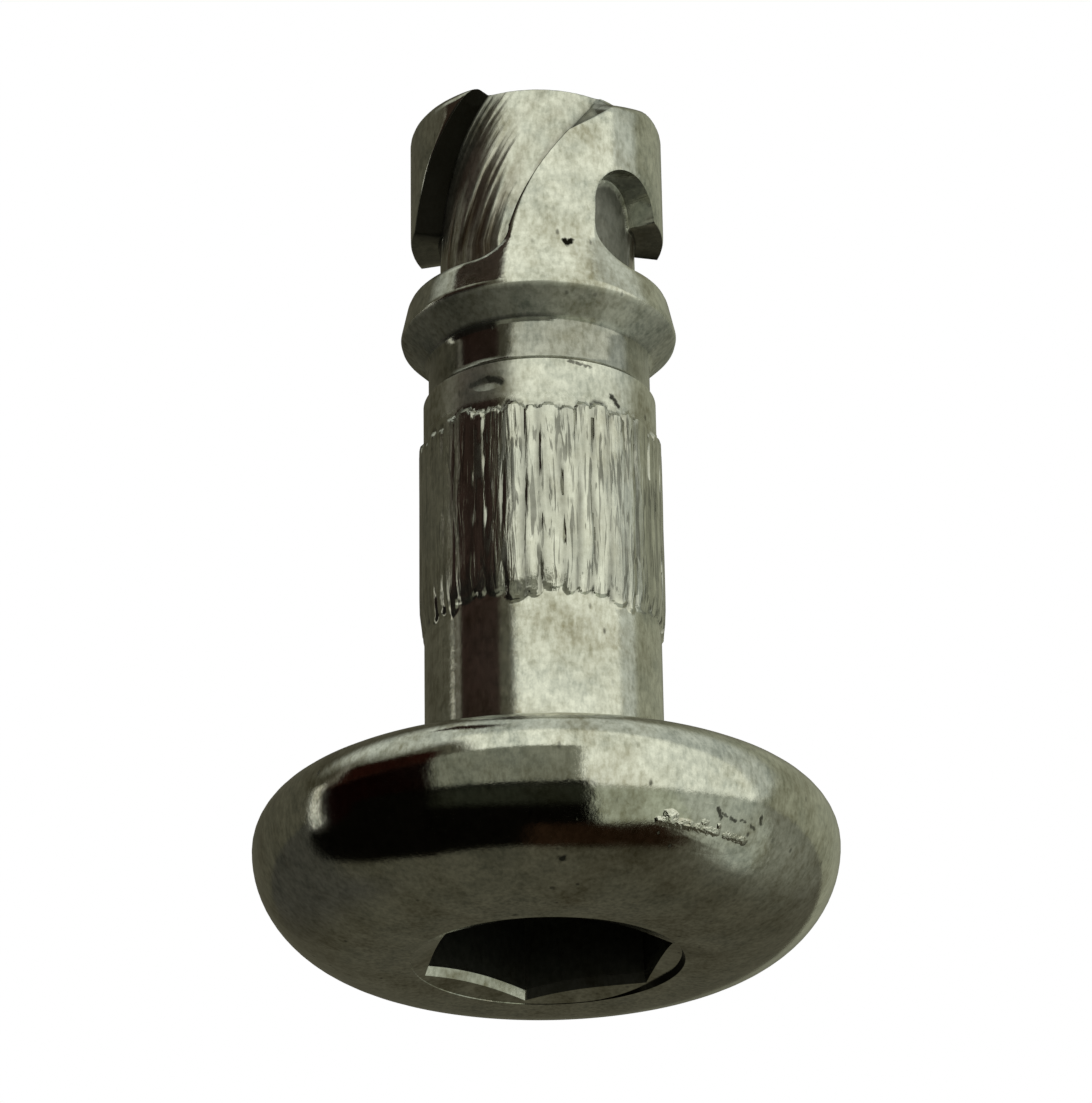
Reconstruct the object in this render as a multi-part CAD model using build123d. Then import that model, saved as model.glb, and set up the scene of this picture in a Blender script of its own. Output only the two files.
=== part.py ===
from build123d import *
import math
import os

# Quarter-turn stud, turned, knurled and milled from one steel bar
# It stands on its domed head with the cam tip up; the origin is the middle of the flat crown.
# Lengths are in millimetres, angles in degrees, turned from the front (-Y) towards +X.

# Domed head
head_diameter = 16.0
head_height = 4.5
crown_diameter = 9.0
dome_height = 3.1
bearing_diameter = 13.2

# Hexagon socket
socket_across_flats = 6.0
socket_depth = 3.2
socket_countersink_diameter = 7.4
socket_countersink_depth = 0.35
socket_drill_point_height = 0.7
socket_turn_angle = 10.7

# Shank and its straight knurl
shank_diameter = 6.6
plain_shank_length = 4.85
knurl_length = 5.85
knurl_crest_diameter = 6.9
knurl_root_diameter = 6.5
knurl_run_out = 0.25
knurl_teeth = 42
band_length = 1.3

# Retaining groove and collar
groove_diameter = 6.3
groove_length = 1.3
groove_shoulder_height = 0.12
collar_diameter = 7.9
collar_lower_flank_height = 0.78
collar_upper_flank_height = 1.84
groove_fillet = 0.35
collar_edge_fillet = 0.15

# Cam tip
waist_diameter = 7.1
waist_fillet = 1.2
lug_diameter = 7.3
lug_start_height = 0.9
lug_length = 4.0
tip_edge_fillet = 0.4
core_diameter = 5.6
track_width = 2.1
track_depth_from_tip = 4.65
detent_diameter = 2.6
detent_rise = 1.05
detent_angle = 48.0
rib_start_angle = -13.0
entry_mouth_angle = 69.0
entry_tip_angle = 6.0
entry_track_angle = -47.0
entry_curl_share = 0.5
entry_sections = 5
lead_in_start = 1.5
lead_in_drop = 0.8
cam_sides = 2

# All cuts run past the surface by this much
overrun = 1.0

# Levels up the axis
bearing_level = head_height
knurl_level = bearing_level + plain_shank_length
band_level = knurl_level + knurl_length
groove_level = band_level + band_length
flank_level = groove_level + groove_length
crest_level = flank_level + collar_lower_flank_height
waist_level = crest_level + collar_upper_flank_height
lug_level = waist_level + lug_start_height
tip_level = lug_level + lug_length
track_level = tip_level - track_depth_from_tip


def radial_plane(angle, level):
    # A plane on the axis that faces outwards at this angle from the front
    turned = math.radians(angle)
    outwards = (math.sin(turned), -math.cos(turned), 0)
    return Plane(origin=(0, 0, level), x_dir=(math.cos(turned), math.sin(turned), 0), z_dir=outwards)


def turned_blank():
    # Half section from the crown up to the tip, spun about the axis
    head_radius = head_diameter / 2
    crown_radius = crown_diameter / 2
    bearing_radius = bearing_diameter / 2
    shank_radius = shank_diameter / 2
    groove_radius = groove_diameter / 2
    lug_radius = lug_diameter / 2
    with BuildSketch(Plane.XZ) as section:
        with BuildLine():
            Line((0, 0), (crown_radius, 0))
            EllipticalCenterArc((crown_radius, dome_height), head_radius - crown_radius, dome_height, 270)
            EllipticalCenterArc(
                (bearing_radius, dome_height), head_radius - bearing_radius, head_height - dome_height
            )
            rounds = [0, 0, 0, groove_fillet, collar_edge_fillet, waist_fillet, waist_fillet, tip_edge_fillet]
            FilletPolyline(
                (bearing_radius, bearing_level),
                (shank_radius, bearing_level),
                (shank_radius, groove_level),
                (groove_radius, groove_level + groove_shoulder_height),
                (groove_radius, flank_level),
                (collar_diameter / 2, crest_level),
                (waist_diameter / 2, waist_level),
                (lug_radius, lug_level),
                (lug_radius, tip_level),
                (0, tip_level),
                radius=rounds,
            )
            Line((0, tip_level), (0, 0))
        make_face()
    return revolve(section.sketch, Axis.Z)


def knurled_sleeve():
    # Straight V teeth round the shank, tapered into it at both ends
    crest_radius = knurl_crest_diameter / 2
    root_radius = knurl_root_diameter / 2
    step = 360 / (2 * knurl_teeth)
    star = [
        Vector(crest_radius if i % 2 else root_radius, 0).rotate(Axis.Z, i * step)
        for i in range(2 * knurl_teeth)
    ]
    teeth = extrude(Plane.XY.offset(knurl_level) * Polygon(*star, align=None), knurl_length)
    top = knurl_level + knurl_length
    with BuildSketch(Plane.XZ) as band:
        Polygon(
            (0, knurl_level),
            (root_radius, knurl_level),
            (crest_radius, knurl_level + knurl_run_out),
            (crest_radius, top - knurl_run_out),
            (root_radius, top),
            (0, top),
            align=None,
        )
    return teeth & revolve(band.sketch, Axis.Z)


def hexagon_socket():
    # Broached hexagon with a countersunk mouth and a drill point at its floor
    corner_radius = socket_across_flats / math.sqrt(3)
    flat_radius = socket_across_flats / 2
    mouth_radius = socket_countersink_diameter / 2
    hexagon = Plane.XY * RegularPolygon(corner_radius, 6, rotation=30 + socket_turn_angle)
    walls = extrude(hexagon, socket_depth)
    point_level = socket_depth + socket_drill_point_height
    with BuildSketch(Plane.XZ) as point:
        Polygon((0, socket_depth), (flat_radius, socket_depth), (0, point_level), align=None)
    sink = socket_countersink_depth
    with BuildSketch(Plane.XZ) as mouth:
        Polygon((0, 0), (mouth_radius, 0), (flat_radius, sink), (0, sink), align=None)
    return walls + revolve(point.sketch, Axis.Z) + revolve(mouth.sketch, Axis.Z)


def end_mill(angle, level, diameter):
    # A round cutter that points at the axis
    return extrude(radial_plane(angle, level) * Circle(diameter / 2), lug_diameter)


def entry_groove():
    # The mouth at the tip, carried down to the track and turned more slowly as it nears it
    half_mouth = entry_mouth_angle / 2
    inner = core_diameter / 4
    outer = lug_diameter
    mouth = [
        Vector(0, -inner).rotate(Axis.Z, -half_mouth),
        Vector(0, -outer).rotate(Axis.Z, -half_mouth),
        Vector(0, -outer).rotate(Axis.Z, half_mouth),
        Vector(0, -inner).rotate(Axis.Z, half_mouth),
    ]
    run = track_depth_from_tip + overrun
    sections = []
    for i in range(entry_sections):
        height = run * i / (entry_sections - 1)
        climbed = height / track_depth_from_tip
        turned = (1 - entry_curl_share) * climbed + entry_curl_share * climbed**2
        angle = entry_track_angle + (entry_tip_angle - entry_track_angle) * turned
        sections.append(Pos(0, 0, track_level + height) * Rot(0, 0, angle) * Polygon(*mouth, align=None))
    return loft(sections)


def cross_track():
    # Level slot from the entry groove round to the detent of the other side
    lug_radius = lug_diameter / 2
    reach = lug_radius + overrun
    track_end = rib_start_angle - math.degrees(track_width / 2 / lug_radius)
    sweep = 180 + track_end - detent_angle
    with BuildSketch(Plane.XZ) as slot:
        Polygon(
            (0, track_level - track_width / 2),
            (reach, track_level - track_width / 2),
            (reach, track_level + track_width / 2),
            (0, track_level + track_width / 2),
            align=None,
        )
    swept = revolve(slot.sketch, Axis.Z, sweep)
    start = Rot(0, 0, track_end - 90 - sweep) * swept
    return start + end_mill(track_end, track_level, track_width)


def detent():
    # Round-topped pocket that rises from the far end of the track into the lug
    low = track_level - track_width / 2 + detent_diameter / 2
    high = track_level + track_width / 2 + detent_rise - detent_diameter / 2
    middle = radial_plane(detent_angle - 180, (low + high) / 2)
    straight = extrude(middle * Rectangle(detent_diameter, high - low), lug_diameter)
    ends = [end_mill(detent_angle - 180, level, detent_diameter) for level in (low, high)]
    return straight + ends[0] + ends[1]


def lead_in():
    # Sloping cut on the corner of a lug, so that a pin finds the entry groove
    lug_radius = lug_diameter / 2
    with BuildSketch(Plane.YZ) as wedge:
        Polygon(
            (-lead_in_start, tip_level),
            (-lug_radius, tip_level - lead_in_drop),
            (-lug_radius - overrun, tip_level - lead_in_drop),
            (-lug_radius - overrun, tip_level + overrun),
            (-lead_in_start, tip_level + overrun),
            align=None,
        )
    return extrude(wedge.sketch, lug_radius + overrun)


def cam_cuts():
    # One side of the cam, cut no deeper than the core, then the same cuts turned to the other side
    core = Pos(0, 0, tip_level) * Cylinder(core_diameter / 2, 4 * track_depth_from_tip)
    side = (cross_track() + entry_groove() + detent() + lead_in()) - core
    return [Rot(0, 0, 360 / cam_sides * i) * side for i in range(cam_sides)]


def stud():
    body = turned_blank() + knurled_sleeve() - hexagon_socket()
    for cut in cam_cuts():
        body = body - cut
    return body


os.makedirs("parts", exist_ok=True)
part = stud()
part.label = "stud"
export_step(part, "parts/stud.step")
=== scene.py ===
import math

import bpy
import numpy as np
from mathutils import Matrix, Vector


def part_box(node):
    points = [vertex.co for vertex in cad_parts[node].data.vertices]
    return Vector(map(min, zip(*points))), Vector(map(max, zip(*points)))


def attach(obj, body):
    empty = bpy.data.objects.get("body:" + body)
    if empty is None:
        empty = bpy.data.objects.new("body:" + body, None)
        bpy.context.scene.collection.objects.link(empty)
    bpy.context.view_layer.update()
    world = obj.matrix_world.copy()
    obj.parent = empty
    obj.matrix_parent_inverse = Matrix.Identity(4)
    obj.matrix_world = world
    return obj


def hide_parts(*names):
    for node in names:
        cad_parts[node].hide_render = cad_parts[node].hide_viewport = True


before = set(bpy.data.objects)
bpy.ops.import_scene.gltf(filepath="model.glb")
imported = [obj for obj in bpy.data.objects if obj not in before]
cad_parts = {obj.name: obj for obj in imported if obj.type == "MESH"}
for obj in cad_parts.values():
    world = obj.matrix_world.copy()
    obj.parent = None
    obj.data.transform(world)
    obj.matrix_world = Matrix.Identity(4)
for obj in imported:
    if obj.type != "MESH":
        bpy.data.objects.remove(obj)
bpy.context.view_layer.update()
print("frame loaded")

# Shapes are worked out in millimetres and degrees; angles turn from the front (-Y) towards +X
mm = 0.001
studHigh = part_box("stud")[1]
tipLevel = studHigh[2] / mm
headRadius = studHigh[0] / mm
columns = 420  # vertices round the axis: 10 to each knurl tooth, 70 to each side of the hexagon
sharpEdge = 34.0  # edges that turn more than this are drawn sharp


def smoothStep(t):
    # Rises from 0 to 1 with level ends
    t = np.clip(t, 0.0, 1.0)
    return t * t * (3.0 - 2.0 * t)


def roundNoise(angle, level, cellsRound, cellHeight, seed):
    # Random values on a lattice that closes round the axis, joined by smooth steps, from -1 to 1
    latticeRows = 400
    table = np.random.default_rng(seed).uniform(-1.0, 1.0, (latticeRows, cellsRound))
    across = np.mod(angle / (2 * np.pi), 1.0) * cellsRound
    up = np.clip(level / cellHeight, 0.0, latticeRows - 2.0)
    i, j = np.floor(up).astype(int), np.floor(across).astype(int)
    s, t = smoothStep(up - i), smoothStep(across - j)
    j0, j1 = j % cellsRound, (j + 1) % cellsRound
    low = table[i, j0] * (1 - t) + table[i, j1] * t
    high = table[i + 1, j0] * (1 - t) + table[i + 1, j1] * t
    return low * (1 - s) + high * s


socket = {
    "acrossFlats": 6.0,
    "depth": 3.2,
    "drillPoint": 0.7,
    "mouthDiameter": 7.4,
    "countersinkDepth": 0.22,
    "bevel": (0.08, 0.27),  # width and height
    "cornerAngle": 130.7,
    "mouthStep": (0.02, 0.15),  # on its shallow and its deep side
    "stepLean": 0.7,
    "deepAngle": 110.0,
    # How dark the painted shade is on the walls, on one side's bevel and on the deep side of the step
    "deepSpread": 45.0,
    "wallShade": 0.7,
    "bevelShade": 0.85,
    "stepShade": 0.97,
    "stepShadeSpread": 38.0,
}
# Columns start on a corner of the hexagon, so that its six edges are true lines of vertices
columnAngle = np.radians(socket["cornerAngle"]) + np.arange(columns) * 2 * np.pi / columns


def spun(profile):
    # A list of (radius, level) points carried round the axis: one row of vertices for each point.
    # Every such function gives four grids: radius, level, angle and painted shade
    points = np.asarray(profile, dtype=float)
    radius, level = points[:, :1] * np.ones(columns), points[:, 1:] * np.ones(columns)
    return radius, level, columnAngle + 0 * level, 0 * level


def socketRows():
    # Drill cone, flat corners, six walls r = flat / cos(angle from the middle of a side), a small bevel,
    # and the countersunk mouth, whose level falls evenly as its radius grows and ends in a steep step
    flat = socket["acrossFlats"] / 2
    mouth = socket["mouthDiameter"] / 2
    side = np.radians(60.0)
    fromMiddle = np.mod(columnAngle - columnAngle[0], side) - side / 2
    hexagon = flat / np.cos(fromMiddle)
    shallow, deep = socket["mouthStep"]
    fromDeep = np.abs(np.mod(columnAngle, 2 * np.pi) - np.radians(socket["deepAngle"]))
    step = shallow + (deep - shallow) * smoothStep(1.2 - fromDeep / np.radians(socket["deepSpread"]))
    rim = mouth - socket["stepLean"] * step
    slope = (socket["countersinkDepth"] - step) / (rim - flat)
    bevelWidth, bevelHeight = socket["bevel"]
    lip = hexagon + bevelWidth
    brow = step + (rim - lip) * slope + bevelHeight
    share = np.linspace(0.2, 0.99, 4)[:, None]
    walls = np.append(np.linspace(0.0, 0.995, 6), 1.0)[:, None]
    bevel = np.array([0.03, 0.98])[:, None]
    sink = np.array([0.0, 0.02, 0.5, 0.98, 1.0])[:, None]
    radius = [
        share * flat * np.ones(columns), hexagon + 0 * walls, hexagon + (lip - hexagon) * bevel,
        lip + (rim - lip) * sink, mouth + 0 * columnAngle,
    ]
    level = [
        (socket["depth"] + (1 - share) * socket["drillPoint"]) * np.ones(columns),
        socket["depth"] + (brow - socket["depth"]) * walls,
        brow - bevelHeight * bevel,
        step + (rim - radius[3]) * slope,
        0 * columnAngle,
    ]
    radius, level = np.vstack(radius), np.vstack(level)
    # Painted shade on the walls, on the bevel of one side, and in the deep part of the step
    dirtAndShade = np.zeros_like(radius)
    bevelRows = slice(-len(sink) - len(bevel) - 2, -len(sink))
    dirtAndShade[: bevelRows.start] = socket["wallShade"]
    dirtAndShade[bevelRows] = socket["bevelShade"] * (np.floor(np.arange(columns) * 6 / columns) == 0)
    dirtAndShade[-2:] = socket["stepShade"] * smoothStep(1.3 - fromDeep / np.radians(socket["stepShadeSpread"]))
    return radius, level, columnAngle + 0 * level, dirtAndShade


head = {"height": 4.5, "crownDiameter": 9.0, "domeHeight": 3.1, "bearingDiameter": 13.2}


def headRows():
    # Flat crown, then a quarter ellipse out to the rim and another one in to the bearing face
    crown, bearing = head["crownDiameter"] / 2, head["bearingDiameter"] / 2
    dome, upper = head["domeHeight"], head["height"] - head["domeHeight"]
    t = np.radians(np.linspace(0.0, 90.0, 24))
    low = np.stack([crown + (headRadius - crown) * np.sin(t), dome * (1 - np.cos(t))], 1)
    brink = [(socket["mouthDiameter"] / 2 + 0.01, 0.0)]
    t = np.radians(np.linspace(0.0, 90.0, 12))[1:]
    high = np.stack([bearing + (headRadius - bearing) * np.cos(t), dome + upper * np.sin(t)], 1)
    face = [(bearing - 1.0, head["height"]), (shank["diameter"] / 2 + 0.02, head["height"])]
    return spun(np.vstack([brink, low, high, face]))


shank = {
    "diameter": 6.6,
    "knurlLevel": 9.35,
    "knurlLength": 5.85,
    "knurlCrest": 6.9,
    "knurlRoot": 6.5,
    "teeth": 42,
    "unevenPitch": 0.16,
    "unevenEnds": 0.16,
    "noseBow": 0.16,  # each tooth ends in a round nose
    "endRise": (0.1, 0.12),  # towards the head and towards the band
    "taperLength": 0.9,
    "grooveWander": 0.16,
    "grooveWidth": 0.1,
    "fluteWidth": 0.4,
    "landCrown": 0.004,
    "landTilt": 0.011,
    "landWander": 0.006,
    "crush": 0.02,  # what the tops of the teeth have lost
    "wornAngle": -62.0,
    "wornSpread": 24.0,
    "wornShare": 0.6,
    # how dark the painted shade is in the grooves of the knurl
    "valleyShade": 0.55,
    "pinchHeight": 0.15,
    "bandLevel": 15.2,
    "grooveLevel": 16.5,
}


def wornSide(angle):
    # 1 in the middle of the side where the knurl is worn smooth, fading to 0 round it
    turned = np.mod(angle - np.radians(shank["wornAngle"]) + np.pi, 2 * np.pi) - np.pi
    return np.exp(-((turned / np.radians(shank["wornSpread"])) ** 2))


def shankRows():
    # Plain cylinder, then broad teeth with crushed tops between thin V grooves that wander, then a plain
    # band. A tooth's height is that of its land less its groove, faded out at both of its ends
    plain, teeth = shank["diameter"] / 2, shank["teeth"]
    start, end = shank["knurlLevel"], shank["knurlLevel"] + shank["knurlLength"]
    ends = shank["unevenEnds"] + 0.3
    levels = np.concatenate([
        np.linspace(head["height"] + 0.05, start - ends, 4, endpoint=False),
        np.linspace(start - ends, start + ends, 15, endpoint=False),
        np.linspace(start + ends, end - ends, 12, endpoint=False),
        np.linspace(end - ends, end + ends, 11, endpoint=False),
        np.linspace(end + ends, shank["grooveLevel"], 4),
    ])[:, None]
    angle = columnAngle + 0 * levels
    draw = np.random.default_rng(7)
    edges = np.arange(teeth + 1) + np.append(draw.uniform(-1, 1, teeth), 0) * shank["unevenPitch"]
    edges[-1] = teeth + edges[0]
    wander = roundNoise(angle, levels, teeth, cellHeight=1.4, seed=5)
    place = columnAngle / (2 * np.pi) * teeth + shank["grooveWander"] * wander
    place = np.mod(place - edges[0], teeth) + edges[0]
    along = np.interp(place, edges, np.arange(teeth + 1))
    tooth = np.clip(np.floor(along).astype(int), 0, teeth - 1)
    across = along - tooth
    fromGroove = np.minimum(across, 1 - across)
    depths = draw.uniform(0.15, 0.7, teeth + 1)
    depth = depths[np.round(along).astype(int) % teeth]
    tilt = draw.uniform(-1, 1, teeth)[tooth] * shank["landTilt"]
    worn = wornSide(columnAngle)
    bite = draw.uniform(0, 1, teeth)[tooth] ** 2
    footBite = bite * (1 - 0.9 * worn)
    first = start + draw.uniform(-1.0, 1.0, teeth)[tooth] * shank["unevenEnds"]
    last = end + draw.uniform(-1.0, 1.0, teeth)[tooth] * shank["unevenEnds"]
    root, crest = shank["knurlRoot"] / 2, shank["knurlCrest"] / 2
    wander = roundNoise(angle, levels, teeth * 2, cellHeight=0.9, seed=11)
    fresh = 1 - shank["wornShare"] * worn
    crown = shank["landCrown"] * (4 * across * (1 - across) - 1)
    land = crest - shank["crush"] + crown + (tilt * (across - 0.5) + shank["landWander"] * wander) * fresh
    broken = np.clip(0.15 + 1.3 * roundNoise(angle, levels, teeth, cellHeight=0.6, seed=17), 0, 1)
    valley = np.clip(1 - fromGroove / shank["grooveWidth"], 0, 1) * depth * broken * fresh
    shape = np.minimum(land - (crest - root) * np.clip(valley, 0, 1), crest)
    bow = shank["noseBow"] * (2 * across - 1) ** 2
    lowRise, highRise = shank["endRise"]
    inside = smoothStep((levels - first - bow) / lowRise) * smoothStep((last - bow - levels) / highRise)
    taper = 0.4 + 0.6 * smoothStep((levels - first - bow) / shank["taperLength"])  # lower towards the head
    inside = inside * taper
    radius = plain + (shape - plain) * inside
    # Painted shade down the knurl: patchy on the flanks beside each groove and darkest in the grooves
    patchy = 0.42 + 0.25 * roundNoise(angle, levels, teeth, cellHeight=1.1, seed=29)
    flute = np.clip(1 - fromGroove / shank["fluteWidth"], 0, 1) * patchy
    valleyShade = shank["valleyShade"] * np.clip(1.6 * valley, 0, 1)
    dirtAndShade = np.maximum(valleyShade, flute * fresh) * smoothStep(4 * inside)
    # Hollows where the rolling tool bit in, shallow at the feet and deeper at the tops of the teeth, with
    # painted shade in them, and painted shade pinched between the feet
    toolBites = ((first + bow, footBite, -1, 0.01, 0.15), (last - bow, bite, 1, 0.03, 0.8))
    for edge, bitten, side, sunk, dark in toolBites:
        hollow = np.exp(-(((levels - edge - side * 0.05) / 0.06) ** 2))
        radius = radius - sunk * hollow * bitten
        dirtAndShade = np.maximum(dirtAndShade, dark * hollow * np.sqrt(bitten))
    pinch = np.exp(-(((levels - first - 0.22) / shank["pinchHeight"]) ** 2))
    pinch = pinch * np.clip(1.5 - fromGroove / 0.16, 0, 1)
    dirtAndShade = np.maximum(dirtAndShade, pinch * (0.3 + 0.7 * np.sqrt(bite)) * (1 - worn))
    return radius, levels * np.ones(columns), angle, dirtAndShade


collar = {
    "grooveDiameter": 6.3,
    "grooveLength": 1.3,
    "shoulder": 0.12,
    "diameter": 7.9,
    "lowerFlank": 0.78,
    "upperFlank": 1.84,
    "waistDiameter": 7.1,
    "lugStart": 0.9,
    "rounds": (0.04, 0.06, 0.35, 0.15, 1.2, 1.2, 0.4),  # at each corner from the band up to the tip
    "grooveShade": 0.4,
    "shadeRise": 0.12,
}
cam = {
    "lugDiameter": 7.3,
    "coreDiameter": 5.6,
    "trackWidth": 2.1,
    "trackFromTip": 4.65,
    "detentDiameter": 2.6,
    "detentRise": 1.05,
    "detentAngle": 48.0,
    "ribStart": -13.0,
    "mouthAngle": 69.0,
    "mouthAtTip": 6.0,
    "mouthAtTrack": -47.0,
    "curlShare": 0.5,
    "leadInStart": 1.5,
    "leadInDrop": 0.8,
    "leadInReach": 1.7,  # levels this far under the tip stay where they are
    "edgeRound": 0.035,
    "floorFillet": 0.07,
    "floorRipple": 0.008,
    "detentShade": 0.7,
    "capInset": 0.05,
}
trackLevel = tipLevel - cam["trackFromTip"]


def roundedProfile(corners, rounds):
    # Straight runs with an arc of the given radius at each inner corner
    points = [np.array(corners[0])]
    for before, corner, after, radius in zip(corners, corners[1:], corners[2:], rounds):
        a, b, c = np.array(before), np.array(corner), np.array(after)
        u, v = (a - b) / np.linalg.norm(a - b), (c - b) / np.linalg.norm(c - b)
        half = math.acos(float(np.clip(u @ v, -1, 1))) / 2
        centre = b + (u + v) / np.linalg.norm(u + v) * radius / math.sin(half)
        first, last = b + u * radius / math.tan(half) - centre, b + v * radius / math.tan(half) - centre
        angle = math.pi - 2 * half
        t = np.linspace(0.0, 1.0, 10)[:, None]
        points.extend(centre + (np.sin((1 - t) * angle) * first + np.sin(t * angle) * last) / math.sin(angle))
    points.append(np.array(corners[-1]))
    return np.array(points)


def outerProfile():
    # Half section from the band over the groove and the collar to the rim of the tip
    plain, groove = shank["diameter"] / 2, collar["grooveDiameter"] / 2
    lug, z = cam["lugDiameter"] / 2, shank["grooveLevel"]
    flank = z + collar["grooveLength"]
    crest = flank + collar["lowerFlank"]
    waist = crest + collar["upperFlank"]
    corners = [
        (plain, z - 0.3), (plain, z), (groove, z + collar["shoulder"]), (groove, flank),
        (collar["diameter"] / 2, crest), (collar["waistDiameter"] / 2, waist),
        (lug, waist + collar["lugStart"]), (lug, tipLevel), (0.5, tipLevel),
    ]
    return roundedProfile(corners, collar["rounds"])


profile = outerProfile()
profile = profile[: np.argmax(profile[:, 1] >= tipLevel - 1e-6) + 1]
camFoot = 19.0  # the cam's own rows start here, under its lowest cut


def collarRows():
    # Rows at even steps along the half section
    part = profile[(profile[:, 1] > shank["grooveLevel"] + 0.01)]
    run = np.append(0.0, np.cumsum(np.hypot(*np.diff(part, axis=0).T)))
    stop = np.interp(camFoot, part[:, 1], run)
    steps = np.linspace(0.0, stop, 24, endpoint=False)
    radius, level, angle = spun(np.stack([np.interp(steps, run, part[:, k]) for k in (0, 1)], 1))[:3]
    grooveFloor = collar["grooveDiameter"] / 2
    # Painted shade in the groove under the collar, fading out as the radius rises above the groove's floor
    dirtAndShade = collar["grooveShade"] * smoothStep((grooveFloor + collar["shadeRise"] - radius) / 0.1)
    return radius, level, angle, dirtAndShade


def mouthCentre(level):
    # Middle of the entry groove at a level: it turns faster as it nears the tip
    climbed = np.clip((level - trackLevel) / cam["trackFromTip"], 0.0, 1.05)
    turned = (1 - cam["curlShare"]) * climbed + cam["curlShare"] * climbed**2
    return np.radians(cam["mouthAtTrack"] + (cam["mouthAtTip"] - cam["mouthAtTrack"]) * turned)


def halfTurn(angle):
    # Both sides of the cam are alike, so angles repeat after half a turn
    return np.mod(angle + np.pi / 2, np.pi) - np.pi / 2


def entryDistance(angle, level):
    # Distance in mm on the unrolled lug from the edge of the entry groove, a slanting band; below 0 inside
    lug, step = cam["lugDiameter"] / 2, 0.01
    slope = lug * (mouthCentre(level + step) - mouthCentre(level - step)) / (2 * step)
    aside = np.abs(halfTurn(angle - mouthCentre(level)))
    band = lug * (aside - np.radians(cam["mouthAngle"]) / 2) / np.sqrt(1 + slope**2)
    return np.maximum(band, trackLevel - level)


def detentDistance(angle, level):
    # The same for the detent, an upright capsule at the end of the track
    lug, track, pin = cam["lugDiameter"] / 2, cam["trackWidth"] / 2, cam["detentDiameter"] / 2
    low, high = trackLevel - track + pin, trackLevel + track + cam["detentRise"] - pin
    above = level - np.clip(level, low, high)
    return np.hypot(lug * halfTurn(angle - np.radians(cam["detentAngle"])), above) - pin


def cutDistance(angle, level):
    # The least distance from the entry groove, the detent and the track, a level capsule between them
    lug, track = cam["lugDiameter"] / 2, cam["trackWidth"] / 2
    end = np.radians(cam["ribStart"]) - track / lug
    begin = np.radians(cam["detentAngle"]) - np.pi
    middle = (begin + end) / 2
    beyond = lug * np.maximum(np.abs(halfTurn(angle - middle)) - (end - begin) / 2, 0.0)
    slot = np.hypot(beyond, level - trackLevel) - track
    return np.minimum(np.minimum(entryDistance(angle, level), slot), detentDistance(angle, level))


def onEdge(angle, level):
    # Vertices beside the edge of a cut slide onto it, along the row or the column that crosses it best
    lug, rim, step = cam["lugDiameter"] / 2, 0.012, 0.004
    d = cutDistance(angle, level)
    side = d > 0
    beside = np.zeros_like(side)
    for up in (-1, 0, 1):
        for across in (-1, 0, 1):
            other = np.roll(side, across, axis=1)
            other = np.vstack([other[:1], other, other[-1:]])[1 + up : len(side) + 1 + up]
            beside |= other != side
    gradX = (cutDistance(angle + step / lug, level) - cutDistance(angle - step / lug, level)) / (2 * step)
    gradZ = (cutDistance(angle, level + step) - cutDistance(angle, level - step)) / (2 * step)
    need = np.where(side, rim, -rim) - d
    flatwise = np.abs(gradX) > np.abs(gradZ)
    far = 0.11
    moveX = np.clip(need / np.where(flatwise, gradX, 1.0), -far, far) * (beside & flatwise)
    moveZ = np.clip(need / np.where(flatwise, 1.0, gradZ), -far, far) * (beside & ~flatwise)
    return angle + moveX / lug, level + moveZ


def camRows():
    # Lug surface outside the cuts and core inside them; columns lean with the entry groove
    shoulder = tipLevel - collar["rounds"][-1]
    levels = np.linspace(camFoot, shoulder, 96)
    t = np.radians(np.linspace(0.0, 90.0, 7))[1:]
    levels = np.append(levels, shoulder + (tipLevel - shoulder) * np.sin(t))[:, None] * np.ones(columns)
    angle = columnAngle + mouthCentre(levels) - mouthCentre(np.array(trackLevel))
    angle, moved = onEdge(angle, levels)
    levels = np.where(levels > shoulder, levels, moved)
    d = cutDistance(angle, levels)
    outer = np.interp(levels, profile[:, 1], profile[:, 0])
    core = cam["coreDiameter"] / 2
    ripple = cam["floorRipple"] * roundNoise(
        angle - mouthCentre(levels), levels, cellsRound=150, cellHeight=2.2, seed=23)
    floor = core + cam["floorFillet"] * np.exp(np.minimum(d, 0) / cam["floorFillet"]) + ripple
    lug = outer - cam["edgeRound"] * np.exp(-np.maximum(d, 0) / 0.05) * (d < 0.3)
    radius = np.where(d > 0, lug, np.minimum(floor, outer))
    # Painted shade at the foot and the lip of the walls, most on those of the entry, and on the floor of the
    # detent
    entryWall = np.exp(-np.abs(entryDistance(angle, levels)) / 0.3)
    foot = np.where(d < 0, np.exp(np.minimum(d + 0.02, 0.0) / 0.1), 1.0 * (d < 0.02))
    inDetent = smoothStep((0.35 - detentDistance(angle, levels)) / 0.3)
    trailing = smoothStep((levels - tipLevel + 1.6) / 1.2) * (halfTurn(angle - mouthCentre(levels)) > 0)
    wallShade = foot * (0.55 + 0.45 * entryWall) * (1 - 0.5 * trailing) * (1 - 0.85 * inDetent)
    floorShade = cam["detentShade"] * inDetent * smoothStep(-d / 0.25)
    return radius, levels, angle, np.maximum(wallShade, floorShade)


def capRows(rim, angle):
    # The flat end: rows from the rim in to the core, then rings to the middle
    core = cam["coreDiameter"] / 2
    inner = core - cam["capInset"]
    share = np.array([0.35, 0.7, 1.0])[:, None]
    edge = np.maximum(rim + (inner - rim) * share, 0)
    rings = inner * np.linspace(0.85, 0.12, 6)[:, None] * np.ones(columns)
    radius = np.vstack([edge, rings])
    return radius, np.full_like(radius, tipLevel), np.ones((len(radius), 1)) * angle, np.zeros_like(radius)


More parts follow.
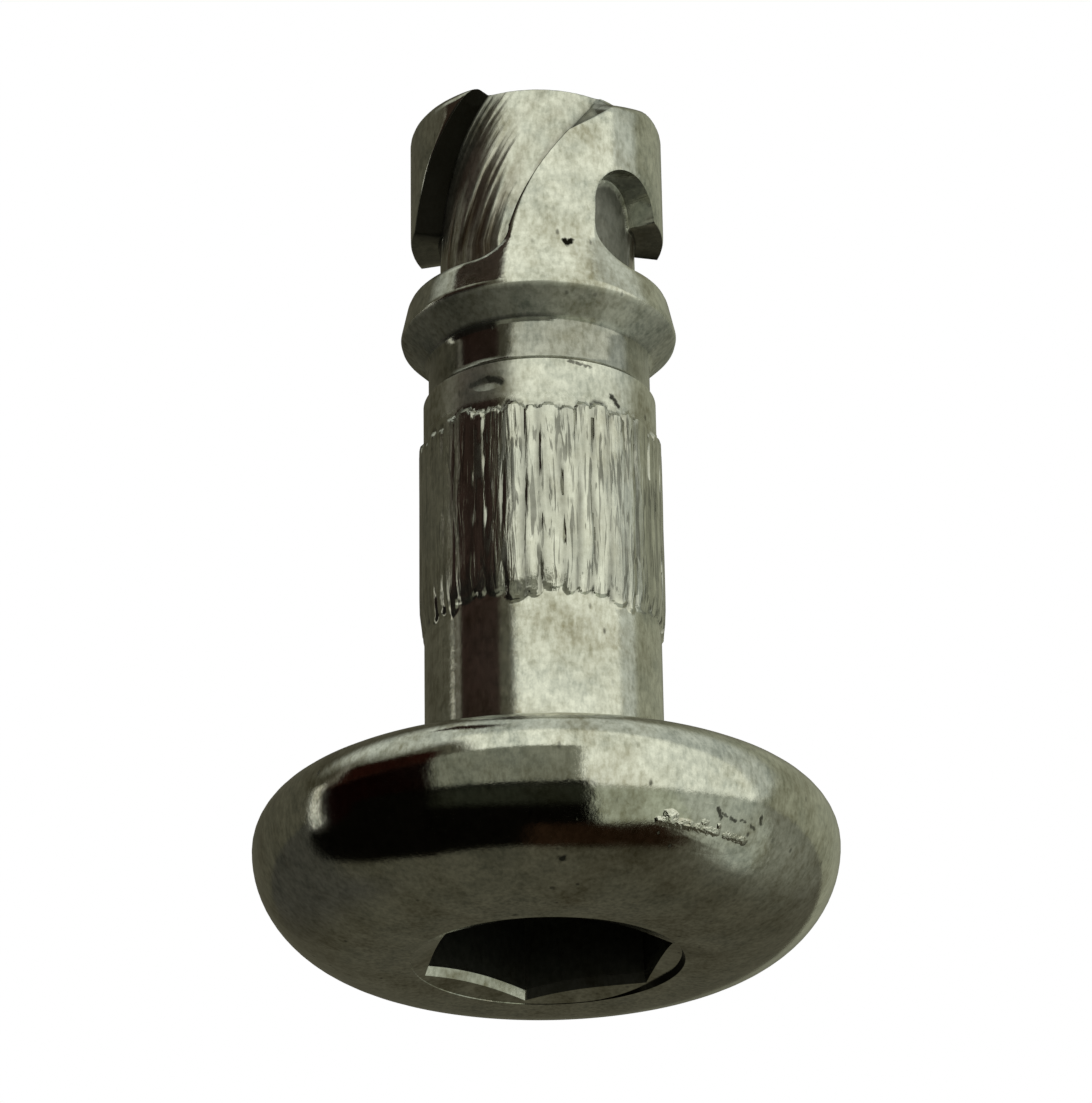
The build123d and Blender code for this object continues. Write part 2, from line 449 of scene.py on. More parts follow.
def leadIn(x, y, z):
    # Sloping corner on each lug: levels near the tip are pressed down to a tilted plane outside the core
    lug, low = cam["lugDiameter"] / 2, tipLevel - cam["leadInReach"]
    reach = -y * np.sign(x)
    drop = cam["leadInDrop"] * np.clip((reach - cam["leadInStart"]) / (lug - cam["leadInStart"]), 0.0, 1.0)
    drop = drop * (np.hypot(x, y) > cam["coreDiameter"] / 2 + 0.15)
    return np.where(z > low, z - drop * (z - low) / (tipLevel - low), z)


def wearAndShadeMaps(radius, level, angle, dirtAndShade):
    # One value from 0 to 1 at each vertex for each finish and for the painted shade, and the place along and
    # across the cutter's path
    core, plain = cam["coreDiameter"] / 2, shank["diameter"] / 2
    d = np.where(level > camFoot, cutDistance(angle, level), 1.0)
    onCore = (radius < core + 0.12) * (level < tipLevel - 0.001)  # the flat end is turned, not milled
    knurled = smoothStep((level - shank["knurlLevel"]) / 0.2) * smoothStep((shank["bandLevel"] - level) / 0.2)
    flankFoot = shank["grooveLevel"] + collar["grooveLength"]
    flank = (level > flankFoot - 0.2) * (level < flankFoot + collar["lowerFlank"] + 0.03)
    flank = flank * smoothStep((radius - collar["grooveDiameter"] / 2) / 0.15)
    inDetent = smoothStep((0.3 - detentDistance(angle, level)) / 0.6) * (d < 0.0)
    band = smoothStep((level - shank["bandLevel"] - 0.1) / 0.15) * (level <= shank["grooveLevel"])
    return {
        "milledFloor": smoothStep(-d / 0.05) * onCore * (1 - inDetent),
        "acrossCut": core * halfTurn(angle - mouthCentre(level)),
        "alongCut": level,
        "knurled": knurled * (radius < plain + 0.5) * (1 - 0.5 * wornSide(angle)),
        # The painted shade of the socket, the knurl, the collar groove and the cam
        "shadeAndGrime": dirtAndShade,
        "unpolished": np.maximum(np.maximum(flank, 0.5 * band), 0.8 * inDetent),
        "dusty": smoothStep((level - head["height"] + 0.1) / 0.2),
    }


def buildStud():
    # All rows from the drill point in the socket, over the head and up the shank, to the middle of the tip
    parts = [socketRows(), headRows(), shankRows(), collarRows(), camRows()]
    parts.append(capRows(parts[-1][0][-1], parts[-1][2][-1]))
    radius, level, angle, dirtAndShade = (np.vstack([part[k] for part in parts]) for k in range(4))
    x, y = radius * np.sin(angle), -radius * np.cos(angle)
    level = leadIn(x, y, level)
    rows = len(radius)
    points = np.stack([x, y, level], 2).reshape(-1, 3)
    poles = [[0, 0, socket["depth"] + socket["drillPoint"]], [0, 0, tipLevel]]
    points = np.vstack([points, poles]) * mm
    i, j = np.meshgrid(np.arange(rows - 1), np.arange(columns), indexing="ij")
    k = (j + 1) % columns
    quads = np.stack([i * columns + j, i * columns + k, (i + 1) * columns + k, (i + 1) * columns + j], 2)
    ring = np.arange(columns)
    after = (ring + 1) % columns
    first, last = rows * columns, (rows - 1) * columns
    below = np.stack([np.full(columns, first), after, ring], 1)
    above = np.stack([last + ring, last + after, np.full(columns, first + 1)], 1)
    mesh = bpy.data.meshes.new("stud_body")
    mesh.from_pydata(points, [], quads.reshape(-1, 4).tolist() + below.tolist() + above.tolist())
    mesh.shade_smooth()
    mesh.set_sharp_from_angle(angle=math.radians(sharpEdge))
    for name, value in wearAndShadeMaps(radius, level, angle, dirtAndShade).items():
        flat = np.append(np.asarray(value, dtype=np.float32).ravel(), [0, 0]).astype(np.float32)
        mesh.attributes.new(name, "FLOAT", "POINT").data.foreach_set("value", flat)
    body = bpy.data.objects.new("stud_body", mesh)
    bpy.context.scene.collection.objects.link(body)
    print("stud mesh:", rows, "rows,", len(mesh.polygons), "faces")
    return body


def linear(hexColour):
    # sRGB hex value to linear red, green, blue and alpha
    value = np.array([int(hexColour[k : k + 2], 16) for k in (1, 3, 5)]) / 255
    low, high = value / 12.92, ((value + 0.055) / 1.055) ** 2.4
    return (*(float(c) for c in np.where(value <= 0.04045, low, high)), 1.0)


def addNode(tree, kind, links=None, **settings):
    # One node with its settings; links maps its sockets to values or to other sockets
    node = tree.nodes.new(kind)
    for name, value in settings.items():
        setattr(node, name, value)
    for name, value in (links or {}).items():
        if isinstance(value, bpy.types.NodeSocket):
            tree.links.new(value, node.inputs[name])
        else:
            node.inputs[name].default_value = value
    return node


def perMetre(size):
    # Scale of a pattern whose cells are this many millimetres wide
    return 1.0 / (size * mm)


# Real plating has crystals of a few hundredths of a millimetre; its veins, grain and flecks, and the fine
# lines of the knurl, are drawn coarser here, so that they show
zinc = {
    "pale": "#e9e9e0",
    "cool": "#8b9089",
    "olive": "#8d876c",
    "rust": "#6b5238",
    # dark colour of the dirt and of the painted shade
    "shadeAndGrime": "#1a1710",
    "veinSize": 0.24,
    "grainSize": 0.09,
    "fleckWidth": 0.12,
    "blotchSize": 1.2,
    "smudgeSize": 2.6,
    "pitSpacing": 0.5,
    "streakWidth": 0.55,
    "scratchWidth": 0.1,
    "lineWidth": 0.075,
    "bandWidth": 0.25,
    "floorTilt": 0.14,
    "roughness": (0.05, 0.12),
    "milledRoughness": 0.28,
    "unpolishedRoughness": 0.5,
    "dirtRoughness": 0.65,
    "dust": 0.05,
    "streakLevels": (24.2, 21.8),  # where the cutter lines begin and where they are full
    "stainLevels": (24.0, 21.5),
    "raggedSize": 0.12,  # edges of marks are broken up by this size and shift
    "raggedShift": 0.16,
    "relief": {  # depths in mm
        "veins": 0.003, "grain": 0.001, "cracks": 0.014, "streaks": 0.15, "scratches": 0.008, "scuff": 0.05,
    },
}

# Small marks that the stud has picked up, and painted shade along the top of a dent: start and end in mm,
# width in mm, and how dark each is
marks = [
    ((0.76, -3.54, 20.06), (0.85, -3.55, 19.92), 0.09, 1.0),
    ((0.85, -3.55, 19.92), (0.95, -3.50, 20.07), 0.09, 1.0),
    ((0.43, -6.55, 0.60), (0.43, -6.55, 0.60), 0.11, 0.9),
    ((-0.84, -3.89, 0.0), (-0.84, -3.89, 0.0), 0.10, 0.6),
    ((0.16, -5.55, 0.15), (0.16, -5.55, 0.15), 0.08, 0.6),
    ((2.02, -2.61, 15.60), (2.19, -2.47, 15.38), 0.08, 0.9),
    ((1.28, -3.05, 11.7), (1.28, -3.05, 11.5), 0.08, 0.7),
    ((0.80, -3.20, 16.44), (1.42, -2.98, 16.35), 0.05, 0.7),
    # Painted shade: a dark crescent along the upper side of the dent that comes first among the nicks
    ((-1.88, -2.71, 15.95), (-1.40, -2.99, 16.04), 0.08, 0.75),
    ((-1.40, -2.99, 16.04), (-1.06, -3.13, 15.86), 0.10, 0.9),
    ((4.45, -6.34, 1.95), (4.53, -6.17, 1.76), 0.06, 0.85),
    ((4.58, -6.20, 1.87), (4.68, -6.10, 1.84), 0.04, 0.75),
    ((4.79, -6.01, 1.83), (4.91, -5.88, 1.78), 0.05, 0.8),
    ((5.05, -5.79, 1.83), (5.17, -5.68, 1.83), 0.035, 0.7),
    ((5.33, -5.51, 1.78), (5.41, -5.39, 1.73), 0.05, 0.7),
    ((5.60, -5.41, 2.06), (5.60, -5.33, 1.92), 0.05, 0.8),
]
# Dents, and ridges with a depth below 0: start, end, radius, how much it is flattened, and depth in mm
nicks = [
    ((-1.42, -2.98, 15.9), (-1.42, -2.98, 15.9), 0.5, 2.3, 0.035),
    ((3.20, -6.85, 1.58), (3.24, -6.82, 1.56), 0.22, 1.0, -0.07),
    ((2.90, -6.88, 1.47), (3.71, -6.47, 1.45), 0.13, 1.0, -0.05),
    ((3.85, -6.37, 1.45), (4.40, -5.97, 1.43), 0.12, 1.0, -0.045),
    ((4.62, -5.78, 1.46), (5.12, -5.36, 1.41), 0.12, 1.0, -0.045),
    ((4.05, -6.33, 1.66), (4.10, -6.30, 1.60), 0.10, 1.0, -0.04),
    ((4.42, -6.06, 1.64), (4.46, -6.03, 1.58), 0.09, 1.0, -0.035),
]
scuff = {"place": (4.1, -6.15, 1.5), "radius": 1.7, "flatten": 3.0, "size": 0.45}


def awayFromRun(tree, off, run):
    # Distance from the nearest point of a straight run that starts where off is 0: the length of
    # off - run * clamp(off . run / run . run)
    run = run * mm
    unit = run / max(run @ run, 1e-12)
    along = addNode(tree, "ShaderNodeVectorMath", {
        0: off, 1: tuple(unit)}, operation="DOT_PRODUCT").outputs["Value"]
    along = addNode(tree, "ShaderNodeClamp", {"Value": along}).outputs[0]
    nearest = addNode(tree, "ShaderNodeVectorMath", {
        0: tuple(run), "Scale": along}, operation="SCALE").outputs[0]
    return addNode(tree, "ShaderNodeVectorMath", {0: off, 1: nearest}, operation="DISTANCE").outputs["Value"]


def addMarks(tree, ragged, dirtAndShade):
    # Each mark is dark within its width of a straight run, and stays where it is darker than the dirt and
    # painted shade
    shift = zinc["raggedShift"]
    for begin, end, width, dark in marks:
        off = addNode(tree, "ShaderNodeVectorMath", {
            0: ragged, 1: tuple((c + shift / 2) * mm for c in begin)}, operation="SUBTRACT").outputs[0]
        away = awayFromRun(tree, off, np.array(end) - begin)
        shade = addNode(tree, "ShaderNodeMapRange", {
            "Value": away, "From Min": width * 0.6 * mm, "From Max": width * 1.3 * mm,
            "To Min": dark, "To Max": 0.0})
        dirtAndShade = addNode(tree, "ShaderNodeMath", {0: dirtAndShade, 1: shade.outputs[0]}, operation="MAXIMUM").outputs[0]
    return dirtAndShade


def nickRelief(tree, place, ragged):
    # A height and its depth for each nick: it rises evenly from a straight run, or falls where it is a ridge
    shift = zinc["raggedShift"]
    hollows = []
    for begin, end, radius, flatten, depth in nicks:
        raised = depth < 0
        off = addNode(tree, "ShaderNodeVectorMath", {
            0: ragged if raised else place, 1: tuple((c + shift / 2 * raised) * mm for c in begin),
        }, operation="SUBTRACT").outputs[0]
        off = addNode(tree, "ShaderNodeVectorMath", {
            0: off, 1: (1.0, 1.0, flatten)}, operation="MULTIPLY").outputs[0]
        away = awayFromRun(tree, off, (np.array(end) - begin) * (1.0, 1.0, flatten))
        height = addNode(tree, "ShaderNodeMapRange", {
            "Value": away, "From Min": 0.0, "From Max": radius * mm,
            "To Min": float(raised), "To Max": float(not raised)}).outputs[0]
        hollows.append((height, abs(depth)))
    return hollows


def scuffRelief(tree, place):
    # Level waves of noise that fade with the distance from the middle of a flattened ball
    scuffOff = addNode(tree, "ShaderNodeVectorMath", {
        0: place, 1: tuple(c * mm for c in scuff["place"])}, operation="SUBTRACT").outputs[0]
    scuffOff = addNode(tree, "ShaderNodeVectorMath", {
        0: scuffOff, 1: (1.0, 1.0, scuff["flatten"])}, operation="MULTIPLY").outputs[0]
    scuffOff = addNode(tree, "ShaderNodeVectorMath", {0: scuffOff}, operation="LENGTH").outputs["Value"]
    scuffed = addNode(tree, "ShaderNodeMapRange", {
        "Value": scuffOff, "From Min": 0.3 * scuff["radius"] * mm, "From Max": scuff["radius"] * mm,
        "To Min": 1.0, "To Max": 0.0}).outputs[0]
    scuffLines = addNode(tree, "ShaderNodeTexNoise", {
        "Vector": addNode(tree, "ShaderNodeMapping", {"Vector": place, "Scale": (0.5, 0.5, 1.6)}).outputs[0],
        "Scale": perMetre(scuff["size"]), "Detail": 1.5}).outputs["Fac"]
    return addNode(tree, "ShaderNodeMath", {
        0: scuffLines, 1: scuffed}, operation="MULTIPLY").outputs[0]


def dullZincPlate():
    # Zinc plated over turned steel: a soft mirror, slightly olive, blurred by a fine crystalline skin with
    # small dark pits; the milled floors keep scratchy cutter lines and the knurl keeps fine cracks
    material = bpy.data.materials.new("dull_zinc_plate")
    material.use_nodes = True
    tree = material.node_tree
    tree.nodes.clear()
    place = addNode(tree, "ShaderNodeTexCoord").outputs["Object"]
    own = {
        name: addNode(tree, "ShaderNodeAttribute", attribute_name=name).outputs["Fac"]
        for name in ("milledFloor", "acrossCut", "alongCut", "knurled", "shadeAndGrime", "unpolished", "dusty")
    }
    # Skin: veins of crystals, finer grain, wide blotches and sparse pits
    veins = addNode(tree, "ShaderNodeTexNoise", {
        "Vector": place, "Scale": perMetre(zinc["veinSize"]), "Detail": 6.0, "Roughness": 0.7}).outputs["Fac"]
    grain = addNode(tree, "ShaderNodeTexNoise", {
        "Vector": place, "Scale": perMetre(zinc["grainSize"]), "Detail": 2.0}).outputs["Fac"]
    blotch = addNode(tree, "ShaderNodeTexNoise", {
        "Vector": place, "Scale": perMetre(zinc["blotchSize"]), "Detail": 3.0}).outputs["Fac"]
    tall = addNode(tree, "ShaderNodeMapping", {"Vector": place, "Scale": (1.0, 1.0, 0.5)}).outputs[0]
    cells = addNode(tree, "ShaderNodeTexVoronoi", {
        "Vector": tall, "Scale": perMetre(zinc["pitSpacing"])}).outputs["Distance"]
    pits = addNode(tree, "ShaderNodeMapRange", {
        "Value": cells, "From Min": 0.06, "From Max": 0.15, "To Min": 1.0, "To Max": 0.0}).outputs[0]
    smudge = addNode(tree, "ShaderNodeTexNoise", {
        "Vector": place, "Scale": perMetre(zinc["smudgeSize"]), "Detail": 5.0, "Roughness": 0.62,
    }).outputs["Fac"]
    sparse = addNode(tree, "ShaderNodeMapRange", {
        "Value": smudge, "From Min": 0.46, "From Max": 0.58}).outputs[0]
    pits = addNode(tree, "ShaderNodeMath", {0: pits, 1: sparse}, operation="MULTIPLY").outputs[0]
    flecks = addNode(tree, "ShaderNodeTexNoise", {
        "Vector": addNode(tree, "ShaderNodeMapping", {"Vector": place, "Scale": (1.0, 1.0, 0.4)}).outputs[0],
        "Scale": perMetre(zinc["fleckWidth"]), "Detail": 3.0}).outputs["Fac"]
    skinTone = 0.0
    layers = ((veins, 0.36, 0.68, 0.42), (flecks, 0.4, 0.65, 0.25), (blotch, 0.38, 0.64, 0.33))
    for pattern, low, high, share in layers:
        layer = addNode(tree, "ShaderNodeMapRange", {
            "Value": pattern, "From Min": low, "From Max": high, "To Min": 0.0, "To Max": share}).outputs[0]
        skinTone = addNode(tree, "ShaderNodeMath", {
            0: skinTone, 1: layer}, operation="ADD", use_clamp=True).outputs[0]
    tint = addNode(tree, "ShaderNodeMapRange", {
        "Value": smudge, "From Min": 0.42, "From Max": 0.6}).outputs[0]
    dull = addNode(tree, "ShaderNodeMix", {
        0: tint, 6: linear(zinc["cool"]), 7: linear(zinc["olive"])}, data_type="RGBA").outputs[2]
    burnished = addNode(tree, "ShaderNodeMath", {  # handling has rubbed the knurl brighter
        0: own["knurled"], 1: -0.45, 2: 1.0}, operation="MULTIPLY_ADD").outputs[0]
    skinTone = addNode(tree, "ShaderNodeMath", {0: skinTone, 1: burnished}, operation="MULTIPLY").outputs[0]
    colour = addNode(tree, "ShaderNodeMix", {
        0: skinTone, 6: linear(zinc["pale"]), 7: dull}, data_type="RGBA").outputs[2]
    # Cutter lines along the milled floors
    lane = addNode(tree, "ShaderNodeMath", {0: own["alongCut"], 1: 0.13}, operation="MULTIPLY").outputs[0]
    lanes = addNode(tree, "ShaderNodeCombineXYZ", {"X": own["acrossCut"], "Y": lane}).outputs[0]
    streak = addNode(tree, "ShaderNodeTexNoise", {
        "Vector": lanes, "Scale": 1.0 / zinc["streakWidth"], "Detail": 1.0, "Distortion": 0.4}).outputs["Fac"]
    begin, full = zinc["streakLevels"]
    shallow = addNode(tree, "ShaderNodeMapRange", {
        "Value": own["alongCut"], "From Min": begin, "From Max": full,
        "To Min": 0.2, "To Max": 1.0}).outputs[0]
    shallow = addNode(tree, "ShaderNodeMath", {
        0: shallow, 1: own["milledFloor"]}, operation="MULTIPLY").outputs[0]
    streakHeight = addNode(tree, "ShaderNodeMath", {0: streak, 1: shallow}, operation="MULTIPLY").outputs[0]
    scratch = addNode(tree, "ShaderNodeTexNoise", {
        "Vector": lanes, "Scale": 1.0 / zinc["scratchWidth"], "Detail": 2.0}).outputs["Fac"]
    scratchHeight = addNode(tree, "ShaderNodeMath", {
        0: scratch, 1: own["milledFloor"]}, operation="MULTIPLY").outputs[0]
    stain = addNode(tree, "ShaderNodeMapRange", {
        "Value": streak, "From Min": 0.56, "From Max": 0.38, "To Min": 0.0, "To Max": 0.75}).outputs[0]
    begin, full = zinc["stainLevels"]
    lower = addNode(tree, "ShaderNodeMapRange", {
        "Value": own["alongCut"], "From Min": begin, "From Max": full,
        "To Min": 0.1, "To Max": 1.0}).outputs[0]
    stain = addNode(tree, "ShaderNodeMath", {0: stain, 1: lower}, operation="MULTIPLY").outputs[0]
    stain = addNode(tree, "ShaderNodeMath", {
        0: stain, 1: own["milledFloor"]}, operation="MULTIPLY").outputs[0]
    # Upright cracks on the knurl, in clumps
    upright = addNode(tree, "ShaderNodeMapping", {"Vector": place, "Scale": (1.0, 1.0, 0.09)}).outputs[0]
    cracks = addNode(tree, "ShaderNodeTexNoise", {
        "Vector": upright, "Scale": perMetre(zinc["lineWidth"] * 2), "Detail": 2.5, "Roughness": 0.55,
        "Distortion": 1.2}).outputs["Fac"]
    crackDark = addNode(tree, "ShaderNodeMapRange", {
        "Value": cracks, "From Min": 0.5, "From Max": 0.58}).outputs[0]
    wide = addNode(tree, "ShaderNodeTexNoise", {
        "Vector": upright, "Scale": perMetre(zinc["bandWidth"]), "Detail": 2.0}).outputs["Fac"]
    wide = addNode(tree, "ShaderNodeMapRange", {
        "Value": wide, "From Min": 0.42, "From Max": 0.68, "To Min": 0.0, "To Max": 0.3}).outputs[0]
    wide = addNode(tree, "ShaderNodeMath", {0: wide, 1: own["knurled"]}, operation="MULTIPLY").outputs[0]
    clumps = addNode(tree, "ShaderNodeMapRange", {
        "Value": blotch, "From Min": 0.36, "From Max": 0.62, "To Min": 0.8, "To Max": 1.0}).outputs[0]
    clumps = addNode(tree, "ShaderNodeMath", {0: clumps, 1: own["knurled"]}, operation="MULTIPLY").outputs[0]
    crackDark = addNode(tree, "ShaderNodeMath", {0: crackDark, 1: clumps}, operation="MULTIPLY").outputs[0]
    crackHeight = addNode(tree, "ShaderNodeMath", {0: cracks, 1: clumps}, operation="MULTIPLY").outputs[0]
    colour = addNode(tree, "ShaderNodeMix", {
        0: stain, 6: colour, 7: linear(zinc["rust"])}, data_type="RGBA").outputs[2]
    # Dirt in the cracks, pits and marks, and painted shade in the hollows
    dirtAndShade = addNode(tree, "ShaderNodeMath", {0: crackDark, 1: 0.68}, operation="MULTIPLY").outputs[0]
    dirtAndShade = addNode(tree, "ShaderNodeMath", {0: dirtAndShade, 1: wide}, operation="MAXIMUM").outputs[0]
    dirtAndShade = addNode(tree, "ShaderNodeMath", {0: dirtAndShade, 1: own["shadeAndGrime"]}, operation="MAXIMUM").outputs[0]
    film = addNode(tree, "ShaderNodeMapRange", {
        "Value": smudge, "From Min": 0.52, "From Max": 0.72, "To Min": 0.0, "To Max": 0.28}).outputs[0]
    film = addNode(tree, "ShaderNodeMath", {0: film, 1: burnished}, operation="MULTIPLY").outputs[0]
    dirtAndShade = addNode(tree, "ShaderNodeMath", {0: dirtAndShade, 1: film}, operation="MAXIMUM").outputs[0]
    pitDark = addNode(tree, "ShaderNodeMath", {0: pits, 1: 0.7}, operation="MULTIPLY").outputs[0]
    dirtAndShade = addNode(tree, "ShaderNodeMath", {0: dirtAndShade, 1: pitDark}, operation="MAXIMUM").outputs[0]
    shift = zinc["raggedShift"]
    ragged = addNode(tree, "ShaderNodeTexNoise", {
        "Vector": place, "Scale": perMetre(zinc["raggedSize"])}).outputs["Color"]
    ragged = addNode(tree, "ShaderNodeVectorMath", {
        0: ragged, 1: (shift * mm, shift * mm, shift * mm), 2: place}, operation="MULTIPLY_ADD").outputs[0]
    dirtAndShade = addMarks(tree, ragged, dirtAndShade)
    colour = addNode(tree, "ShaderNodeMix", {
        0: dirtAndShade, 6: colour, 7: linear(zinc["shadeAndGrime"])}, data_type="RGBA").outputs[2]
    # Gloss
    low, high = zinc["roughness"]
    rough = addNode(tree, "ShaderNodeMapRange", {
        "Value": blotch, "From Min": 0.3, "From Max": 0.7, "To Min": low, "To Max": high}).outputs[0]
    rough = addNode(tree, "ShaderNodeMix", {
        0: own["milledFloor"], 2: rough, 3: zinc["milledRoughness"]}, data_type="FLOAT").outputs[0]
    rough = addNode(tree, "ShaderNodeMix", {
        0: own["unpolished"], 2: rough, 3: zinc["unpolishedRoughness"]}, data_type="FLOAT").outputs[0]
    thick = addNode(tree, "ShaderNodeMapRange", {"Value": dirtAndShade, "From Min": 0.5, "From Max": 0.9}).outputs[0]
    rough = addNode(tree, "ShaderNodeMix", {
        0: thick, 2: rough, 3: zinc["dirtRoughness"]}, data_type="FLOAT").outputs[0]
    # Dust on the shank and the tip, which gives a little diffuse light
    metallic = addNode(tree, "ShaderNodeMath", {
        0: own["dusty"], 1: -zinc["dust"], 2: 1.0}, operation="MULTIPLY_ADD").outputs[0]
    # Relief. The milled floor leans a little towards the right, under all the small heights
    slant = addNode(tree, "ShaderNodeMath", {0: own["acrossCut"], 1: -1.0}, operation="MULTIPLY").outputs[0]
    slant = addNode(tree, "ShaderNodeBump", {
        "Height": slant, "Strength": 1.0, "Distance": zinc["floorTilt"] * mm}).outputs[0]
    smooth = addNode(tree, "ShaderNodeNewGeometry").outputs["Normal"]
    normal = addNode(tree, "ShaderNodeMix", {
        0: own["milledFloor"], 4: smooth, 5: slant}, data_type="VECTOR").outputs[1]
    # The heights stand in the order of their depths in the dictionary
    heights = (veins, grain, crackHeight, streakHeight, scratchHeight, scuffRelief(tree, place))
    for height, depth in (*zip(heights, zinc["relief"].values()), *nickRelief(tree, place, ragged)):
        normal = addNode(tree, "ShaderNodeBump", {
            "Height": height, "Strength": 1.0, "Distance": depth * mm, "Normal": normal}).outputs[0]
    shader = addNode(tree, "ShaderNodeBsdfPrincipled", {
        "Base Color": colour, "Metallic": metallic, "Roughness": rough, "Normal": normal})
    addNode(tree, "ShaderNodeOutputMaterial", {"Surface": shader.outputs[0]})
    return material


studBody = buildStud()
studBody.data.materials.append(dullZincPlate())
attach(studBody, "root")
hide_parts("stud")
print("plated")

# Soft panels round the stud, in degrees. A tilted panel gives its angle out of the front-to-back plane,
# + to the right, and its pitch in that plane: 0 in front, 90 overhead, -90 underneath, 180 behind. An upright
# panel gives azimuth from the front and elevation. Then come the soft border, the colour, and the bow of a
# tilted panel's foot
studio = {
    "backdrop": "#ffffff",
    "room": "#525043",
    "panels": [
        ("right back", "tilted", (10, 100), (90, 190), 30, "#9a9c88", 0),
        ("ceiling", "tilted", (-48, 100), (58, 112), 22, "#ccd1c6", 0),
        ("right floor", "tilted", (40, 100), (-190, -100), 40, "#85877a", 0),
        ("left floor", "tilted", (-100, -25), (-190, -118), 20, "#44433c", 0),
        ("window", "tilted", (-25, 88), (-21, 66), 9, "#fcffef", 0),
        ("right bounce", "tilted", (41, 100), (-122, -20), 12, "#b2b7a9", 0),
        ("grey sill", "tilted", (15, 50), (-61, -21), 6, "#b5bba7", 0),
        ("dark door", "upright", (-95, -42), (-64, 17), 3, "#0c0302", 0),
        ("brown door", "upright", (-94, -42), (16, 32), 3, "#240f09", 0),
        ("dark bench", "tilted", (-77, 17), (-81, -14), 4, "#070604", 0.0125),
        ("dim bench", "tilted", (-40, 16), (-38, -19), 10, "#272920", 0),
        ("brown edge", "tilted", (-4, 36), (-82, -60), 8, "#281b11", 0.0055),
        ("shank gleam", "upright", (-93, -87), (19, 40), 3, "#77756a", 0),
        ("head gleam", "upright", (-100, -95.5), (-7, 22), 2, "#fffff0", 0),
        ("glint", "tilted", (37, 46), (-66, -55), 4, "#ffffee", 0),
    ],
}


def lightStudio():
    # The world holds a grey room with soft-edged panels; the camera itself sees only the plain backdrop
    world = bpy.data.worlds.new("studio")
    bpy.context.scene.world = world
    world.use_nodes = True
    tree = world.node_tree
    tree.nodes.clear()
    towards = addNode(tree, "ShaderNodeTexCoord").outputs["Generated"]
    ray = addNode(tree, "ShaderNodeSeparateXYZ", {"Vector": towards})
    ahead = addNode(tree, "ShaderNodeMath", {0: ray.outputs["Y"], 1: -1.0}, operation="MULTIPLY").outputs[0]
    side = addNode(tree, "ShaderNodeMath", {0: ray.outputs["X"]}, operation="ARCSINE").outputs[0]
    pitch = addNode(tree, "ShaderNodeMath", {0: ray.outputs["Z"], 1: ahead}, operation="ARCTAN2").outputs[0]
    azimuth = addNode(tree, "ShaderNodeMath", {0: ray.outputs["X"], 1: ahead}, operation="ARCTAN2").outputs[0]
    elevation = addNode(tree, "ShaderNodeMath", {0: ray.outputs["Z"]}, operation="ARCSINE").outputs[0]
    squared = addNode(tree, "ShaderNodeMath", {0: side, 1: side}, operation="MULTIPLY").outputs[0]
    shade = linear(studio["room"])
    for name, kind, widths, heights, soft, colour, bow in studio["panels"]:
        across, up = (side, pitch) if kind == "tilted" else (azimuth, elevation)
        foot = addNode(tree, "ShaderNodeMath", {
            0: squared, 1: math.degrees(bow), 2: up}, operation="MULTIPLY_ADD").outputs[0]
        mask = 1.0
        for value, edge, below, above in (
            (across, widths[0], 0.0, 1.0), (across, widths[1], 1.0, 0.0),
            (foot, heights[0], 0.0, 1.0), (up, heights[1], 1.0, 0.0),
        ):
            border = addNode(tree, "ShaderNodeMapRange", {
                "Value": value, "To Min": below, "To Max": above,
                "From Min": math.radians(edge - soft / 2), "From Max": math.radians(edge + soft / 2),
            }, interpolation_type="SMOOTHSTEP", label=name).outputs[0]
            mask = addNode(tree, "ShaderNodeMath", {0: mask, 1: border}, operation="MULTIPLY").outputs[0]
        shade = addNode(tree, "ShaderNodeMix", {
            0: mask, 6: shade, 7: linear(colour)}, data_type="RGBA").outputs[2]
    lit = addNode(tree, "ShaderNodeBackground", {"Color": shade, "Strength": 1.0})
    plain = addNode(tree, "ShaderNodeBackground", {"Color": linear(studio["backdrop"]), "Strength": 1.0})
    seen = addNode(tree, "ShaderNodeLightPath").outputs["Is Camera Ray"]
    both = addNode(tree, "ShaderNodeMixShader", {0: seen, 1: lit.outputs[0], 2: plain.outputs[0]})
    addNode(tree, "ShaderNodeOutputWorld", {"Surface": both.outputs[0]})


card = {"halfSide": 600, "gap": 0.02, "colour": "#f4f4f1", "glow": 0.45}


def layFloor():
    # A pale sheet under the crown; seen from beneath it is clear, so the camera can look up at the head
    mesh = bpy.data.meshes.new("floor")
    corners = np.array([(-1, -1, 0), (1, -1, 0), (1, 1, 0), (-1, 1, 0)]) * (card["halfSide"] * mm)
    mesh.from_pydata(corners - [0, 0, card["gap"] * mm], [], [(0, 1, 2, 3)])
    floor = bpy.data.objects.new("floor", mesh)
    bpy.context.scene.collection.objects.link(floor)
    material = bpy.data.materials.new("pale_card")
    material.use_nodes = True
    tree = material.node_tree
    tree.nodes.clear()
    matt = addNode(tree, "ShaderNodeBsdfDiffuse", {"Color": linear(card["colour"])})
    glow = addNode(tree, "ShaderNodeEmission", {"Color": linear(card["colour"]), "Strength": card["glow"]})
    lit = addNode(tree, "ShaderNodeAddShader", {0: matt.outputs[0], 1: glow.outputs[0]})
    clear = addNode(tree, "ShaderNodeBsdfTransparent")
    back = addNode(tree, "ShaderNodeNewGeometry").outputs["Backfacing"]
    sheet = addNode(tree, "ShaderNodeMixShader", {0: back, 1: lit.outputs[0], 2: clear.outputs[0]})
    addNode(tree, "ShaderNodeOutputMaterial", {"Surface": sheet.outputs[0]})
    mesh.materials.append(material)
    for ray in ("diffuse", "glossy", "transmission", "shadow", "volume_scatter"):
        setattr(floor, "visible_" + ray, False)


